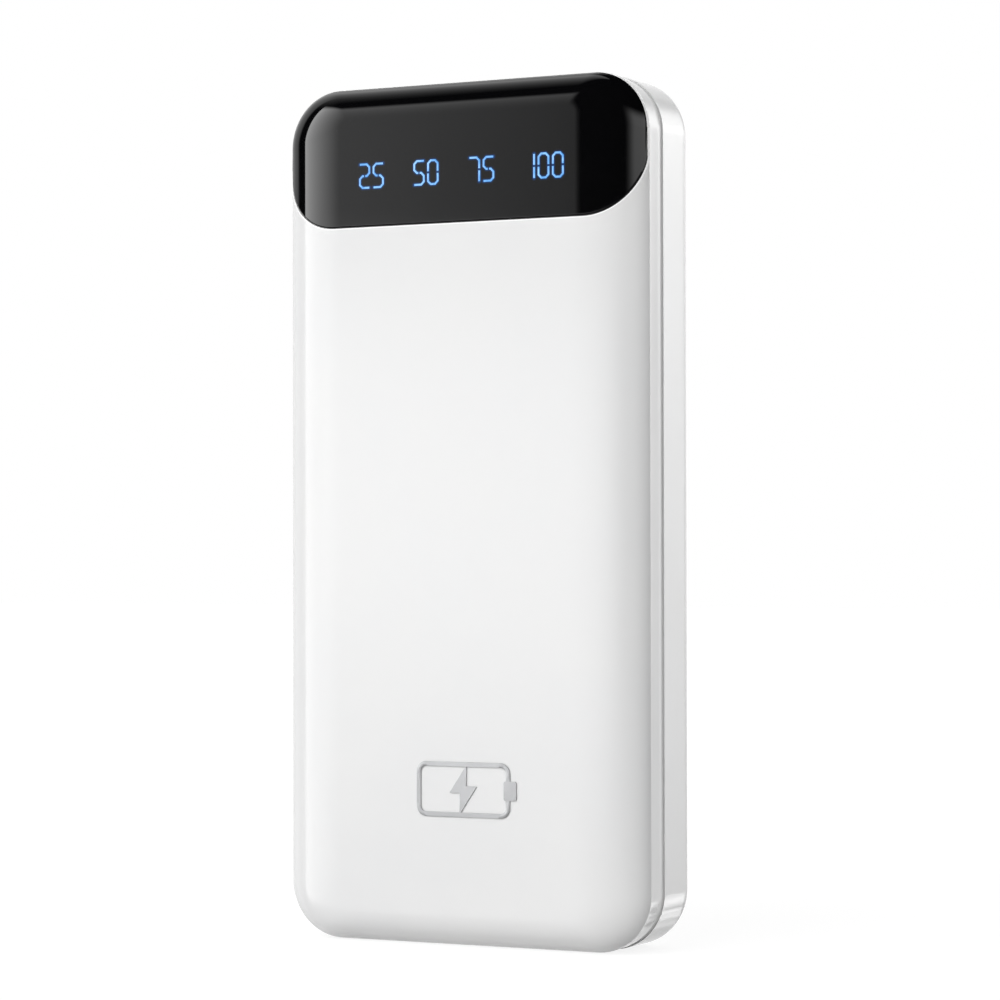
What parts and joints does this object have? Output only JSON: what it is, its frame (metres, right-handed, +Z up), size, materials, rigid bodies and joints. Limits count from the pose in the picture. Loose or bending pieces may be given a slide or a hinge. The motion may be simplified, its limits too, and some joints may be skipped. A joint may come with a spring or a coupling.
{
  "type": "power bank",
  "caption": "Upright pocket power bank: rounded white case, black window with lit charge numerals, USB sockets in the top end and a side button.",
  "frame": {"origin": "middle of the bottom end, on the surface that the power bank stands on", "axes": "+Z up along the case's length, +X to the right seen from the front, +Y from the front to the back"},
  "size_m": [0.0685, 0.0212, 0.145],
  "materials": {
    "white_gloss": "glossy white ABS",
    "black_gloss": "piano-black lens",
    "silver_foil": "silver transfer foil",
    "black_film": "matt black film",
    "milky_film": "milky diffusing film",
    "white_plastic": "white moulded plastic",
    "blue_led": "lit blue LED",
    "green_board": "green solder mask",
    "black_component": "black moulded component",
    "capacitor_body": "ceramic capacitor",
    "ferrite": "pressed ferrite",
    "nickelled_steel": "nickel-plated steel",
    "screw_steel": "zinc-plated steel",
    "socket_insulator": "white socket plastic",
    "cell_foil": "laminated aluminium pouch",
    "grey_foam": "closed-cell foam",
    "cell_tape": "adhesive sheet",
    "nickel_strip": "nickel strip",
    "red_insulation": "silicone wire, red",
    "black_insulation": "silicone wire, black"
  },
  "bodies": {
    "case": {"front_shell": "white_gloss", "rear_shell": "white_gloss", "display_window": "black_gloss", "battery_emblem": "silver_foil", "numeral_mask": "black_film", "diffuser": "milky_film", "light_baffle": "white_plastic", "led_25": "blue_led", "led_50": "blue_led", "led_75": "blue_led", "led_100": "blue_led", "main_board": "green_board", "controller_ic": "black_component", "input_mosfet": "black_component", "output_mosfet": "black_component", "input_capacitor": "capacitor_body", "output_capacitor": "capacitor_body", "cell_capacitor": "capacitor_body", "boost_inductor": "ferrite", "board_screw_left": "screw_steel", "board_screw_right": "screw_steel", "usb_a_left_shell": "nickelled_steel", "usb_a_right_shell": "nickelled_steel", "micro_usb_shell": "nickelled_steel", "usb_c_shell": "nickelled_steel", "usb_a_left_insulator": "socket_insulator", "usb_a_right_insulator": "socket_insulator", "micro_usb_insulator": "black_component", "usb_c_insulator": "black_component", "switch_body": "nickelled_steel", "front_cell": "cell_foil", "rear_cell": "cell_foil", "foam_pad": "grey_foam", "cell_tape": "cell_tape", "positive_strip": "nickel_strip", "negative_strip": "nickel_strip", "positive_wire": "red_insulation", "negative_wire": "black_insulation"},
    "button": {"power_button": "white_gloss", "switch_plunger": "black_component"}
  },
  "joints": [
    {"name": "button_press", "type": "slide", "parent": "case", "child": "button", "axis": [1, 0, 0], "range_m": [0, 0.0004], "stiffness_N_per_m": 600, "springref_m": -0.0006}
  ]
}
